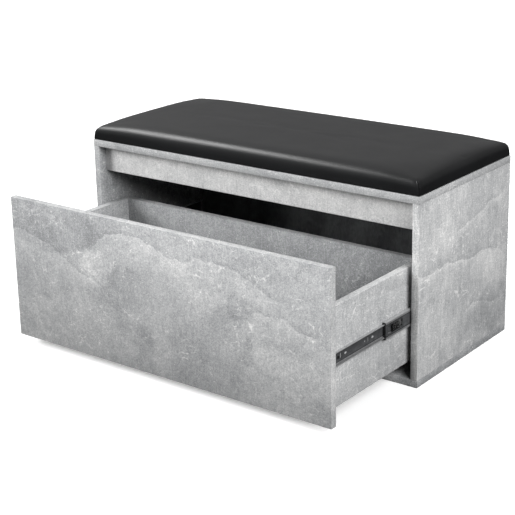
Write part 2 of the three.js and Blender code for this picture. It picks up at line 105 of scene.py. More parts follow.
def aim_from(azimuth, elevation):
    """The direction to a lamp: azimuth degrees to the right of straight ahead of the bench's front."""
    turn, lift = math.radians(azimuth), math.radians(elevation)
    return Vector((math.sin(turn) * math.cos(lift), -math.cos(turn) * math.cos(lift), math.sin(lift)))


def add_lamp(name, data, direction, place=(0, 0, 0)):
    lamp = bpy.data.objects.new(name, data)
    turn = (-direction).to_track_quat("-Z", "Y")
    lamp.matrix_world = Matrix.Translation(place) @ turn.to_matrix().to_4x4()
    bpy.context.scene.collection.objects.link(lamp)
    return lamp


def distant_lamp(name, azimuth, elevation, strength, spread):
    """A big far softbox: parallel light from a source spread degrees wide, which nothing mirrors."""
    data = bpy.data.lights.new(name, "SUN")
    data.energy = strength
    data.angle = math.radians(spread)
    add_lamp(name, data, aim_from(azimuth, elevation)).visible_glossy = False


def strip_lamp(name, azimuth, elevation, distance, size, power):
    data = bpy.data.lights.new(name, "AREA")
    data.shape = "RECTANGLE"
    data.size, data.size_y = size
    data.energy = power
    direction = aim_from(azimuth, elevation)
    add_lamp(name, data, direction, direction * distance)


# How bright the sky is along an axis of its direction: from one value to another, and the brightness at each.
SKY_ACROSS = (-0.20, 0.45, 0.33, 0.15)
SKY_HORIZON = (-0.05, 0.05, 0.16, 1.0)


def make_sky():
    """A sky that is brighter to the left and dim below the horizon."""
    world = bpy.data.worlds.new("studio")
    world.use_nodes = True
    tree = world.node_tree
    sky = tree.nodes["Background"]
    sky.inputs["Color"].default_value = (1.0, 1.0, 1.0, 1.0)
    direction = tree.nodes.new("ShaderNodeSeparateXYZ")
    tree.links.new(tree.nodes.new("ShaderNodeTexCoord").outputs["Generated"], direction.inputs[0])
    strength = tree.nodes.new("ShaderNodeMath")
    strength.operation = "MULTIPLY"
    for index, (axis, numbers) in enumerate((("X", SKY_ACROSS), ("Z", SKY_HORIZON))):
        ramp = tree.nodes.new("ShaderNodeMapRange")
        for socket, number in zip(list(ramp.inputs)[1:5], numbers):
            socket.default_value = number
        tree.links.new(direction.outputs[axis], ramp.inputs["Value"])
        tree.links.new(ramp.outputs["Result"], strength.inputs[index])
    tree.links.new(strength.outputs[0], sky.inputs["Strength"])
    bpy.context.scene.world = world


def make_light():
    """The sky, two far softboxes and a near one that gives the pad its highlight."""
    make_sky()
    bpy.context.scene.view_settings.view_transform = "Standard"
    distant_lamp("key", azimuth=-46, elevation=22, strength=3.3, spread=30)
    distant_lamp("fill", azimuth=72, elevation=34, strength=4.3, spread=45)
    strip_lamp("rim", azimuth=-84, elevation=54, distance=2.34, size=(0.9, 0.9), power=26)


def make_floor():
    """A white floor that the bench neither mirrors nor takes light from, like a sheet lit on its own."""
    mesh = bpy.data.meshes.new("floor")
    half = 20
    corners = [(-half, -half, 0), (half, -half, 0), (half, half, 0), (-half, half, 0)]
    mesh.from_pydata(corners, [], [(0, 1, 2, 3)])
    floor = bpy.data.objects.new("floor", mesh)
    floor.location.z = -0.2 * MM
    floor.visible_glossy = False
    floor.visible_diffuse = False
    bpy.context.scene.collection.objects.link(floor)
    material = bpy.data.materials.new("pale_floor")
    material.use_nodes = True
    shader = material.node_tree.nodes["Principled BSDF"]
    shader.inputs["Base Color"].default_value = (0.93, 0.93, 0.93, 1)
    shader.inputs["Roughness"].default_value = 0.9
    shader.inputs["Specular IOR Level"].default_value = 0.1
    shader.inputs["Emission Color"].default_value = (1.0, 1.0, 1.0, 1.0)
    shader.inputs["Emission Strength"].default_value = 0.24
    mesh.materials.append(material)


# ---------- Node trees ----------

class Paint:
    """A material's node tree, written as expressions. Its vectors are in the bench's frame, at rest."""

    def __init__(self, name):
        self.material = bpy.data.materials.new(name)
        self.material.use_nodes = True
        self.tree = self.material.node_tree
        self.shader = self.tree.nodes["Principled BSDF"]
        self.place = self.add("ShaderNodeTexCoord").outputs["Object"]

    def add(self, kind, **settings):
        node = self.tree.nodes.new(kind)
        for key, value in settings.items():
            setattr(node, key, value)
        return node

    def feed(self, socket, value):
        if isinstance(value, bpy.types.NodeSocket):
            self.tree.links.new(value, socket)
        else:
            socket.default_value = value

    def math(self, operation, *values):
        node = self.add("ShaderNodeMath", operation=operation)
        for socket, value in zip(node.inputs, values):
            self.feed(socket, value)
        return node.outputs[0]

    def plus(self, a, b):
        return self.math("ADD", a, b)

    def minus(self, a, b):
        return self.math("SUBTRACT", a, b)

    def times(self, a, b):
        return self.math("MULTIPLY", a, b)

    def parts(self, vector):
        node = self.add("ShaderNodeSeparateXYZ")
        self.feed(node.inputs[0], vector)
        return dict(zip("xyz", node.outputs))

    def joined(self, x, y, z):
        node = self.add("ShaderNodeCombineXYZ")
        for socket, value in zip(node.inputs, (x, y, z)):
            self.feed(socket, value)
        return node.outputs[0]

    def moved(self, vector, offset=(0, 0, 0), scale=(1, 1, 1)):
        """vector times scale, plus offset."""
        node = self.add("ShaderNodeVectorMath", operation="MULTIPLY_ADD")
        self.feed(node.inputs[0], vector)
        self.feed(node.inputs[1], scale)
        self.feed(node.inputs[2], offset)
        return node.outputs[0]

    def noise(self, vector, size, detail=4.0, roughness=0.5, distortion=0.0):
        """Noise whose lumps are about size metres across, from 0 to 1."""
        node = self.add("ShaderNodeTexNoise")
        self.feed(node.inputs["Vector"], vector)
        node.inputs["Scale"].default_value = 1 / size
        node.inputs["Detail"].default_value = detail
        node.inputs["Roughness"].default_value = roughness
        node.inputs["Distortion"].default_value = distortion
        return node.outputs["Fac"]

    def cells(self, vector, size, feature="F1"):
        node = self.add("ShaderNodeTexVoronoi", feature=feature)
        self.feed(node.inputs["Vector"], vector)
        node.inputs["Scale"].default_value = 1 / size
        return node.outputs["Distance"]

    def span(self, value, low, high, start=0.0, end=1.0, smooth=True):
        """value's stretch from low to high, as start to end, held at both ends."""
        node = self.add("ShaderNodeMapRange")
        node.interpolation_type = "SMOOTHSTEP" if smooth else "LINEAR"
        for socket, number in zip(node.inputs, (value, low, high, start, end)):
            self.feed(socket, number)
        return node.outputs["Result"]

    def mixed(self, share, first, second):
        """A colour from first at share 0 to second at share 1."""
        node = self.add("ShaderNodeMix", data_type="RGBA")
        self.feed(node.inputs["Factor"], share)
        self.feed(node.inputs["A"], self.opaque(first))
        self.feed(node.inputs["B"], self.opaque(second))
        return node.outputs["Result"]

    @staticmethod
    def opaque(colour):
        return (*colour, 1.0) if isinstance(colour, tuple) and len(colour) == 3 else colour

    def bump(self, *layers):
        """Each layer is a height from 0 to 1 and its depth in metres."""
        normal = None
        for height, depth in layers:
            node = self.add("ShaderNodeBump")
            node.inputs["Distance"].default_value = depth
            self.feed(node.inputs["Height"], height)
            if normal is not None:
                self.tree.links.new(normal, node.inputs["Normal"])
            normal = node.outputs[0]
        self.tree.links.new(normal, self.shader.inputs["Normal"])

    def finish(self, colour, roughness, metallic=0.0, specular=0.5):
        self.feed(self.shader.inputs["Base Color"], self.opaque(colour))
        self.feed(self.shader.inputs["Roughness"], roughness)
        self.shader.inputs["Metallic"].default_value = metallic
        self.shader.inputs["Specular IOR Level"].default_value = specular
        return self.material


def cover(node, material):
    """Gives a CAD node one material."""
    mesh = frame["nodes"][node].data
    mesh.materials.clear()
    mesh.materials.append(material)


# ---------- Concrete décor of the melamine boards ----------

CONCRETE_DARK = (0.185, 0.190, 0.195)
CONCRETE_MID = (0.375, 0.380, 0.385)
CONCRETE_LIGHT = (0.712, 0.708, 0.699)
CONCRETE_FLECK = (0.800, 0.800, 0.790)
BAND_THICKNESS = 0.9 * MM
SHEET_STEP = (3.1, 1.7, 0.9)  # how far apart two boards' pieces of the printed sheet lie, for seeds 1 apart


def smooth_line(paint, share, heights):
    """The height, at a share from 0 to 1, of a smooth line through heights at even steps."""
    curve = paint.add("ShaderNodeFloatCurve")
    points = curve.mapping.curves[0].points
    low = min(heights) - 10 * MM
    high = max(heights) + 10 * MM
    last = len(heights) - 1
    for index, height in enumerate(heights):
        spot = (index / last, (height - low) / (high - low))
        if index == 0:
            points[0].location = spot
        elif index == last:
            points[-1].location = spot
        else:
            points.new(*spot)
    curve.mapping.update()
    paint.feed(curve.inputs["Value"], share)
    return paint.span(curve.outputs[0], 0, 1, low, high, smooth=False)


def trowel_mark(paint, along, up, heights, reach, fade):
    """A ridge of plaster: light below a wandering line and crisp on its upper side. heights are the line's
    heights at even steps over reach, and the mark thins out towards both of its ends."""
    start, end = reach
    share = paint.span(along, start, end, smooth=False)
    below = paint.minus(smooth_line(paint, share, heights), up)
    body = paint.math("EXPONENT", paint.times(paint.math("MAXIMUM", below, 0.0), -1 / fade))
    crest = paint.math("EXPONENT", paint.times(paint.math("MAXIMUM", below, 0.0), -1 / (5 * MM)))
    blur = paint.span(paint.noise(paint.joined(along, up, 0.0), 0.07, 2), 0.46, 0.62, 0.7 * MM, 5 * MM)
    edge = paint.span(below, paint.times(blur, -1), blur)
    ends = paint.times(paint.span(share, 0.0, 0.15), paint.span(share, 1.0, 0.80))
    strokes = paint.noise(paint.joined(paint.times(along, 0.12), below, 0.0), 4 * MM, 5, 0.65, 0.3)
    brushed = paint.times(body, paint.span(strokes, 0.34, 0.62, 0.45, 1.05))
    glow = paint.plus(brushed, paint.times(crest, 0.30))
    shade = paint.times(paint.span(below, -14 * MM, -1 * MM), paint.span(below, 0.5 * MM, -1 * MM))
    return paint.times(paint.minus(paint.times(glow, edge), paint.times(shade, 0.45)), ends)


def edge_bands(paint, corner, far_corner):
    """Two masks: the thin joint between a board's face and the bands on its edges, and the bands."""
    sizes = far_corner - corner
    thin = min(range(3), key=lambda axis: sizes[axis])
    place = paint.parts(paint.place)
    joint = band = 0.0
    for axis, letter in enumerate("xyz"):
        if axis == thin:
            continue
        middle = (corner[axis] + far_corner[axis]) / 2
        half = sizes[axis] / 2
        inset = paint.minus(half, paint.math("ABSOLUTE", paint.minus(place[letter], middle)))
        off = paint.math("ABSOLUTE", paint.minus(inset, BAND_THICKNESS))
        joint = paint.math("MAXIMUM", joint, paint.span(off, 0.30 * MM, 0.05 * MM))
        band = paint.math("MAXIMUM", band, paint.span(inset, 0.8 * BAND_THICKNESS, 0.6 * BAND_THICKNESS))
    return joint, band


def scratches(paint, sheet, stretch, size, patch):
    """Thin light lines, long along the axis that stretch makes small, in patches patch metres across."""
    lines = paint.noise(paint.moved(sheet, scale=stretch), size, 4, 0.6, 0.15)
    where = paint.span(paint.noise(paint.moved(sheet, (7, 3, 1)), patch, 2), 0.50, 0.62)
    return paint.times(paint.span(lines, 0.60, 0.72), where)


def cracks(paint, warped, size, patch):
    """A net of light hairlines, about size metres from one to the next, broken up and kept to patches."""
    gaps = paint.cells(warped, size, "DISTANCE_TO_EDGE")
    where = paint.span(paint.noise(paint.moved(warped, (2, 9, 4)), patch, 3, 0.6), 0.48, 0.60)
    broken = paint.span(paint.noise(warped, size / 3, 3), 0.42, 0.60)
    return paint.times(paint.times(paint.span(gaps, 0.9 * MM / size, 0.2 * MM / size), where), broken)


def speckle(paint, sheet, spacing, radius, patch):
    """Dots of a given radius, in patches."""
    dots = paint.cells(paint.moved(sheet, (5, 5, 5)), spacing)
    where = paint.span(paint.noise(paint.moved(sheet, (1, 6, 8)), patch, 3), 0.42, 0.60)
    return paint.times(paint.span(dots, 1.4 * radius / spacing, 0.5 * radius / spacing), where)


def concrete(node, along, up, seed, lift, streaky, marks, blotches):
    """The décor on one board. along and up name the axes of its face, seed moves it over the printed sheet,
    lift lightens or darkens the whole board as painted light and shade, streaky is how much runs down it, and
    marks and blotches are placed one by one."""
    paint = Paint("concrete_" + node)
    corner, far_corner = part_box(node)
    place = paint.parts(paint.place)
    across = next(letter for letter in "xyz" if letter not in (along, up))
    start = tuple(seed * step for step in SHEET_STEP)
    sheet = paint.moved(paint.joined(place[along], place[up], place[across]), start)

    wander = paint.minus(paint.noise(sheet, 0.07, 7, 0.64), 0.5)
    sway = paint.minus(paint.noise(paint.moved(sheet, (4, 4, 4)), 0.05, 7, 0.66), 0.5)
    warp_along = paint.plus(place[along], paint.times(sway, 0.060))
    warp_up = paint.plus(place[up], paint.times(wander, 0.040))
    warped = paint.moved(paint.joined(warp_along, warp_up, place[across]), start)

    clouds = paint.noise(sheet, 0.22, 4, 0.5, 0.3)
    patches = paint.noise(sheet, 0.08, 9, 0.68, 0.9)
    mottle = paint.noise(sheet, 0.022, 7, 0.72, 0.5)
    chips = paint.noise(paint.moved(sheet, (6, 2, 7)), 0.035, 10, 0.78, 1.0)
    streaks = paint.noise(paint.moved(sheet, scale=(1, 0.12, 1)), 0.022, 6, 0.66, 0.2)
    hatching = paint.noise(paint.moved(sheet, scale=(1, 0.09, 1)), 3.2 * MM, 2, 0.6)
    grain = paint.noise(sheet, 3.6 * MM, 4, 0.8)
    dust = paint.noise(sheet, 1.6 * MM, 1, 0.5)
    tilted = paint.joined(
        paint.plus(place[along], paint.times(place[up], 0.6)),
        paint.minus(place[up], paint.times(place[along], 0.6)),
        seed,
    )

    # lift: painted light and shade, the whole board lightened or darkened.
    tone = lift
    layers = (
        (clouds, 1.1),
        (mottle, 0.6),
        (streaks, 1.6 * streaky),
        (hatching, 2.0 * streaky),
        (grain, 2.7),
        (dust, 1.6),
    )
    for layer, strength in layers:
        tone = paint.plus(tone, paint.times(paint.minus(layer, 0.5), strength))
    tone = paint.plus(tone, paint.times(paint.span(patches, 0.52, 0.57), 0.14))
    tone = paint.minus(tone, paint.times(paint.span(patches, 0.44, 0.40), 0.18))
    tone = paint.plus(tone, paint.times(paint.span(chips, 0.57, 0.62), 0.32))

    breaks = paint.span(paint.noise(warped, 0.030, 6, 0.68), 0.36, 0.58, 0.50, 1.0)
    for heights, reach, fade, strength in marks:
        mark = trowel_mark(paint, warp_along, warp_up, heights, reach, fade)
        tone = paint.plus(tone, paint.times(paint.times(mark, breaks), strength))
    for middle_along, middle_up, reach_along, reach_up, strength in blotches:
        side = paint.times(paint.minus(warp_along, middle_along), 1 / reach_along)
        rise = paint.times(paint.minus(warp_up, middle_up), 1 / reach_up)
        far = paint.plus(paint.times(side, side), paint.times(rise, rise))
        tone = paint.plus(tone, paint.times(paint.times(paint.span(far, 1.2, 0.6), breaks), strength))

    tone = paint.plus(tone, paint.times(scratches(paint, sheet, (0.06, 1, 1), 3.0 * MM, 0.10), 0.38))
    tone = paint.plus(tone, paint.times(scratches(paint, sheet, (1, 0.06, 1), 3.5 * MM, 0.12), 0.34))
    tone = paint.plus(tone, paint.times(scratches(paint, tilted, (0.05, 1, 1), 3.0 * MM, 0.09), 0.40))
    tone = paint.plus(tone, paint.times(cracks(paint, warped, 0.026, 0.08), 0.85))
    tone = paint.plus(tone, paint.times(cracks(paint, warped, 0.085, 0.16), 0.65))
    dark_dots = speckle(paint, paint.moved(sheet, (3, 1, 2)), 9 * MM, 1.1 * MM, 0.06)
    tone = paint.minus(tone, paint.times(dark_dots, 0.7))
    joint, band = edge_bands(paint, corner, far_corner)
    tone = paint.plus(paint.minus(tone, paint.times(joint, 0.55)), paint.times(band, 0.22))

    dark_to_mid = paint.mixed(paint.span(tone, -1.0, 0.0, smooth=False), CONCRETE_DARK, CONCRETE_MID)
    colour = paint.mixed(paint.span(tone, 0.0, 1.25, smooth=False), dark_to_mid, CONCRETE_LIGHT)
    coarse_flecks = speckle(paint, sheet, 13 * MM, 1.2 * MM, 0.06)
    fine_flecks = speckle(paint, warped, 6 * MM, 0.8 * MM, 0.04)
    flecks = paint.plus(coarse_flecks, fine_flecks)
    colour = paint.mixed(paint.times(flecks, 0.65), colour, CONCRETE_FLECK)
    paint.bump((mottle, 0.06 * MM), (grain, 0.03 * MM))
    return paint.finish(colour, paint.span(mottle, 0.3, 0.7, 0.60, 0.50), specular=0.3)


# Trowel marks: heights at even steps, the stretch they run over, how far they fade downwards, and strength.
LONG_RIDGE = (0.235, 0.280, 0.315, 0.320, 0.300, 0.290, 0.305, 0.300, 0.280, 0.260, 0.235)
DRAWER_FRONT_MARKS = (
    (LONG_RIDGE, (-0.24, 0.36), 0.050, 0.48),
    ((0.280, 0.275, 0.265, 0.240, 0.205, 0.185), (-0.50, -0.14), 0.030, 0.45),
    ((0.205, 0.222, 0.205, 0.195), (0.22, 0.42), 0.028, 0.45),
)
SIDE_PANEL_MARKS = (
    ((0.255, 0.240, 0.240, 0.225, 0.220, 0.165), (-0.24, 0.20), 0.026, 0.55),
    ((0.300, 0.310, 0.335, 0.340), (-0.06, 0.20), 0.014, 0.45),
    ((0.110, 0.115, 0.095, 0.090), (-0.02, 0.20), 0.012, 0.40),
)
# Blotches: middle along, middle up, reach along, reach up, and strength, below 0 for a dark one.
DRAWER_FRONT_BLOTCHES = (
    (-0.33, 0.30, 0.18, 0.06, -0.50),
    (-0.28, 0.07, 0.20, 0.07, 0.24),
    (0.33, 0.08, 0.12, 0.08, 0.24),
    (-0.18, 0.23, 0.045, 0.045, 0.30),
    (-0.10, 0.22, 0.045, 0.035, -0.18),
    (0.21, 0.22, 0.035, 0.030, -0.34),
    (0.235, 0.13, 0.014, 0.035, -0.34),
    (0.29, 0.12, 0.06, 0.03, 0.16),
    (-0.06, 0.10, 0.06, 0.03, -0.20),
    (0.0, 0.07, 0.025, 0.06, 0.24),
)
SIDE_PANEL_BLOTCHES = (
    (0.13, 0.08, 0.09, 0.06, -0.40),
    (-0.10, 0.30, 0.06, 0.04, 0.18),
    (-0.08, 0.13, 0.04, 0.08, 0.20),
    (0.08, 0.19, 0.06, 0.03, 0.20),
)
BOTTOM_PANEL_BLOTCHES = ((0.45, 0.0, 0.05, 0.45, -0.75),)


def paint_boards():
    # lift is painted light and shade: the front rail is lightened against the shade under the top panel; the
    # left side panel, left drawer side, drawer's back and bottom panel are darkened for the shade inside the
    # carcass and the drawer; the top panel is darker against the light falling on it from above; the other
    # boards are nudged to how bright each shows under these lamps.
    # Node, the axes along and up its face, seed, lift, streakiness, marks and blotches
    boards = (
        ("drawer_front", "x", "z", 1.0, -0.12, 0.30, DRAWER_FRONT_MARKS, DRAWER_FRONT_BLOTCHES),
        # Painted light: the rail is lightened against the shade it sits in, under the top panel's overhang.
        ("front_rail", "x", "z", 2.0, 0.62, 0.40, (), ()),
        ("top_panel", "x", "y", 3.0, -0.30, 0.30, (), ()),
        ("bottom_panel", "x", "y", 4.0, -0.40, 0.30, (), BOTTOM_PANEL_BLOTCHES),
        ("side_panel_left", "y", "z", 5.0, -0.60, 0.40, (), ()),
        ("side_panel_right", "y", "z", 6.0, 0.12, 0.60, SIDE_PANEL_MARKS, SIDE_PANEL_BLOTCHES),
        ("drawer_side_left", "y", "z", 7.0, -0.60, 0.40, (), ()),
        ("drawer_side_right", "y", "z", 8.0, -0.10, 0.40, (), ()),
        ("drawer_back", "x", "z", 9.0, -0.55, 0.40, (), ()),
    )
    for node, *settings in boards:
        cover(node, concrete(node, *settings))


# ---------- The other CAD nodes' materials ----------

def hardboard(name, light):
    """Printed hardboard: flat grey with the fibres just showing. light scales how bright it is."""
    paint = Paint(name)
    fibres = paint.noise(paint.moved(paint.place, scale=(1, 1, 0.4)), 4 * MM, 5, 0.65)
    clouds = paint.noise(paint.place, 0.09, 5, 0.6)
    tone = paint.plus(paint.times(fibres, 0.35), paint.times(clouds, 0.65))
    dark = tuple(light * part for part in (0.050, 0.052, 0.054))
    pale = tuple(light * part for part in (0.120, 0.123, 0.126))
    paint.bump((fibres, 0.12 * MM))
    return paint.finish(paint.mixed(paint.span(tone, 0.35, 0.65), dark, pale), 0.72, specular=0.3)


def metal(name, dark, pale, roughness):
    """Bare or plated metal with a cloudy surface and a fine grain."""
    paint = Paint(name)
    grain = paint.noise(paint.place, 0.8 * MM, 3, 0.6)
    clouds = paint.noise(paint.place, 12 * MM, 4, 0.6, 0.6)
    tone = paint.plus(paint.times(grain, 0.5), paint.times(clouds, 0.5))
    rough = paint.span(clouds, 0.3, 0.7, roughness - 0.07, roughness + 0.09)
    paint.bump((grain, 0.03 * MM))
    return paint.finish(paint.mixed(paint.span(tone, 0.3, 0.7), dark, pale), rough, metallic=1.0)


def zinc_plate(name):
    """The plating of screws and bolts."""
    return metal(name, (0.38, 0.385, 0.39), (0.58, 0.585, 0.59), 0.30)


def slide_rail(node):
    """A slide's rail: a darker web between two paler ball tracks, with a painted shadow line where each track
    meets the web and a painted highlight along each track's outer lip.
    """
    paint = Paint("slide_steel_" + node)
    corner, far_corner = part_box(node)
    middle = (corner.z + far_corner.z) / 2
    half = (far_corner.z - corner.z) / 2
    height = paint.parts(paint.place)["z"]
    level = paint.times(paint.math("ABSOLUTE", paint.minus(height, middle)), 1 / half)
    lines = paint.noise(paint.moved(paint.place, scale=(1, 0.04, 1)), 0.8 * MM, 3, 0.6)
    clouds = paint.noise(paint.place, 0.012, 4, 0.6, 0.6)
    tone = paint.plus(paint.times(lines, 0.5), paint.times(clouds, 0.5))
    shade = paint.span(tone, 0.3, 0.7)
    web = paint.mixed(shade, (0.090, 0.093, 0.098), (0.170, 0.174, 0.180))
    track = paint.mixed(shade, (0.24, 0.244, 0.25), (0.38, 0.384, 0.39))
    # Painted highlight: the pale line along each track's outer lip.
    lip = (0.56, 0.565, 0.57)
    # Painted shade: the dark line where each track meets the web.
    painted_groove_shade = (0.05, 0.051, 0.053)
    off_groove_shade = paint.math("ABSOLUTE", paint.minus(level, 0.68))
    colour = paint.mixed(paint.span(level, 0.66, 0.76), web, track)
    # Paints the highlight on the lips, then the shadow line between web and track.
    colour = paint.mixed(paint.span(level, 0.90, 0.95), colour, lip)
    colour = paint.mixed(paint.span(off_groove_shade, 0.07, 0.03), colour, painted_groove_shade)
    paint.bump((lines, 0.03 * MM))
    return paint.finish(colour, paint.span(clouds, 0.3, 0.7, 0.38, 0.50), metallic=0.6)


def plastic(name):
    """Black nylon with a fine moulded grain."""
    paint = Paint(name)
    grain = paint.noise(paint.place, 0.5 * MM, 2, 0.5)
    wear = paint.noise(paint.place, 6 * MM, 4, 0.6)
    colour = paint.mixed(paint.span(wear, 0.35, 0.7), (0.012, 0.012, 0.013), (0.026, 0.026, 0.028))
    paint.bump((grain, 0.03 * MM))
    return paint.finish(colour, paint.span(wear, 0.3, 0.7, 0.38, 0.5))


def fibreboard(name):
    """Raw medium-density fibreboard: fine brown fibres with darker flecks."""
    paint = Paint(name)
    fibres = paint.noise(paint.moved(paint.place, scale=(1, 1, 3)), 1.5 * MM, 5, 0.7)
    flecks = paint.span(paint.cells(paint.place, 3 * MM), 0.25, 0.1)
    tone = paint.minus(fibres, paint.times(flecks, 0.2))
    paint.bump((fibres, 0.1 * MM))
    return paint.finish(paint.mixed(paint.span(tone, 0.3, 0.7), (0.30, 0.19, 0.10), (0.52, 0.37, 0.22)), 0.85)


def foam(name):
    """Pale upholstery foam with open cells."""
    paint = Paint(name)
    pores = paint.span(paint.cells(paint.place, 1.4 * MM), 0.35, 0.1)
    clouds = paint.noise(paint.place, 0.05, 3, 0.5)
    tone = paint.minus(clouds, paint.times(pores, 0.3))
    paint.bump((pores, -0.4 * MM))
    return paint.finish(paint.mixed(paint.span(tone, 0.2, 0.7), (0.52, 0.47, 0.36), (0.78, 0.74, 0.62)), 0.95)


def faux_leather(name):
    """Smooth black faux leather: a fine pebble grain under a satin coat."""
    paint = Paint(name)
    pebbles = paint.cells(paint.place, 1.1 * MM, "SMOOTH_F1")
    creases = paint.span(paint.cells(paint.place, 2.3 * MM, "DISTANCE_TO_EDGE"), 0.0, 0.12)
    clouds = paint.noise(paint.place, 0.08, 4, 0.55)
    tone = paint.plus(paint.times(pebbles, 0.5), paint.times(clouds, 0.5))
    colour = paint.mixed(paint.span(tone, 0.2, 0.7), (0.0052, 0.0054, 0.0058), (0.0085, 0.0088, 0.0094))
    paint.bump((creases, 0.03 * MM), (pebbles, 0.03 * MM))
    return paint.finish(colour, paint.span(clouds, 0.3, 0.7, 0.36, 0.40), specular=0.5)


def paint_other_nodes():
    finishes = {
        "back_panel": hardboard("hardboard_back", 1.5),
        "drawer_bottom": hardboard("hardboard_drawer", 1.6),
        "seat_base": fibreboard("fibreboard"),
    }
    ball_steel = metal("ball_steel", (0.38, 0.385, 0.39), (0.60, 0.605, 0.61), 0.25)
    screw_steel = zinc_plate("screw_steel")
    cam_alloy = metal("cam_alloy", (0.30, 0.30, 0.31), (0.46, 0.465, 0.475), 0.45)
    black_plastic = plastic("black_plastic")
    for node in frame["nodes"]:
        if node in finishes:
            cover(node, finishes[node])
        elif "_cam_" in node:
            cover(node, cam_alloy)
        elif "screw" in node or "confirmat" in node:
            cover(node, screw_steel)
        elif "end_stop" in node or "lever" in node:
            cover(node, black_plastic)
        elif "cage" in node:
            cover(node, ball_steel)
        elif "member" in node:
            cover(node, slide_rail(node))


# ---------- Edges of the CAD nodes ----------

def smooth_group():
    """Geometry nodes that shade a mesh smooth except across edges sharper than 35 degrees."""
    group = bpy.data.node_groups.new("smooth_by_angle", "GeometryNodeTree")
    group.interface.new_socket("Geometry", in_out="INPUT", socket_type="NodeSocketGeometry")
    group.interface.new_socket("Geometry", in_out="OUTPUT", socket_type="NodeSocketGeometry")
    start = group.nodes.new("NodeGroupInput")
    end = group.nodes.new("NodeGroupOutput")
    faces = group.nodes.new("GeometryNodeSetShadeSmooth")
    faces.domain = "FACE"
    edges = group.nodes.new("GeometryNodeSetShadeSmooth")
    edges.domain = "EDGE"
    edges.inputs["Shade Smooth"].default_value = False
    angle = group.nodes.new("GeometryNodeInputMeshEdgeAngle")
    sharp = group.nodes.new("FunctionNodeCompare")
    sharp.operation = "GREATER_THAN"
    sharp.inputs["B"].default_value = math.radians(35)
    group.links.new(start.outputs[0], faces.inputs["Geometry"])
    group.links.new(faces.outputs[0], edges.inputs["Geometry"])
    group.links.new(angle.outputs["Unsigned Angle"], sharp.inputs["A"])
    group.links.new(sharp.outputs[0], edges.inputs["Selection"])
    group.links.new(edges.outputs[0], end.inputs[0])
    return group


def soften_edges():
    """Welds each CAD node's facets, rounds its sharp edges and shades it smooth."""
    group = smooth_group()
    for name, node in frame["nodes"].items():
        mesh = node.data
        if mesh.attributes.get("custom_normal"):
            mesh.attributes.remove(mesh.attributes["custom_normal"])
        weld = node.modifiers.new("weld", "WELD")
        weld.merge_threshold = 0.005 * MM
        rounding = edge_radius(name)
        if rounding:
            bevel = node.modifiers.new("rounded_edges", "BEVEL")
            bevel.width = rounding
            bevel.segments = 2
            bevel.limit_method = "ANGLE"
            bevel.angle_limit = math.radians(50)
            bevel.use_clamp_overlap = True
        smooth = node.modifiers.new("smooth", "NODES")
        smooth.node_group = group


def edge_radius(name):
    if "cage" in name or "_cam_" in name or "screw" in name or "confirmat" in name:
        return 0
    if "member" in name or "lever" in name or "stop" in name:
        return 0.15 * MM
    return 0.5 * MM


# ---------- Seat pad ----------

# The cover before it swells, by its own lengths
LEATHER_THICKNESS = 1.1 * MM
HEM_WIDTH = 35 * MM
FOLD_START = 1.2 * MM  # above the lower edge, where the cover starts to turn in under the base board
SHOULDER_WIDTH = 22 * MM
SHOULDER_HEIGHT = 17 * MM
SHOULDER_LENGTH = math.pi / 2 * (SHOULDER_WIDTH + SHOULDER_HEIGHT) / 2  # about, round a quarter ellipse
TOP_CORNER_ROUNDING = 15 * MM
FOOT_CORNER_ROUNDING = 5 * MM
CORNER_ROUNDING_REACH = 60 * MM  # over which the rounding fades out, in from the shoulder
PAD_FINE_STEP = 1.4 * MM
PAD_STEP = 6 * MM

# How it swells
STAPLED_HEIGHT = 5 * MM  # above its lower edge the cover starts to come free
FREE_ABOVE = 9 * MM  # and this much higher it is wholly free
CLOTH_FRAMES = 20
SWELL_LIMIT = 8 * MM
SINK_LIMIT = 1.5 * MM

# How it is drawn in and folded
CORNER_DIP = 0.14  # of the cover's height, at a corner
CORNER_REACH = 70 * MM  # over which that fades out
SIDE_PULL = 1.2 * MM
PULL_START = 12 * MM  # above the cover's lower edge
PULL_GROWTH = 10 * MM  # over which it grows to its full strength
CREASE_DEPTH = 1.2 * MM
CREASE_REACH = 60 * MM

cover_low, cover_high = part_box("seat_cover")
PAD_HALF_X = cover_high.x - 0.4 * MM
PAD_HALF_Y = cover_high.y - 0.4 * MM
PAD_BOTTOM = cover_low.z
PAD_TOP = cover_high.z - 2.0 * MM
SIDE_HEIGHT = PAD_TOP - SHOULDER_HEIGHT - PAD_BOTTOM
TURN = SIDE_HEIGHT + SHOULDER_LENGTH / 2  # from the lower edge to where the grid over the top begins


def eased(value):
    """value held to 0 to 1, with a soft start and end."""
    held = min(max(value, 0.0), 1.0)
    return held * held * (3 - 2 * held)


def bell(values, width):
    """1 at 0, falling smoothly to nothing at a few widths to either side."""
    return np.exp(-(values / width) ** 2)


def grid_lines(half):
    """Grid lines from -half to half, close together at both ends and PAD_STEP apart in between."""
    lines = [half]
    step = PAD_FINE_STEP
    while lines[-1] > step:
        lines.append(lines[-1] - step)
        step = min(step * 1.2, PAD_STEP)
    return [-line for line in lines] + lines[::-1]


def pad_section(travel):
    """(inset, height) of the cover, travel metres up from its lower edge. Below 0 it is the hem."""
    if travel < 0:
        return -travel, PAD_BOTTOM
    if travel < SIDE_HEIGHT:
        return 0.0, PAD_BOTTOM + travel
    turn = min((travel - SIDE_HEIGHT) / SHOULDER_LENGTH, 1.0) * math.pi / 2
    return SHOULDER_WIDTH * (1 - math.cos(turn)), PAD_TOP - SHOULDER_HEIGHT * (1 - math.sin(turn))


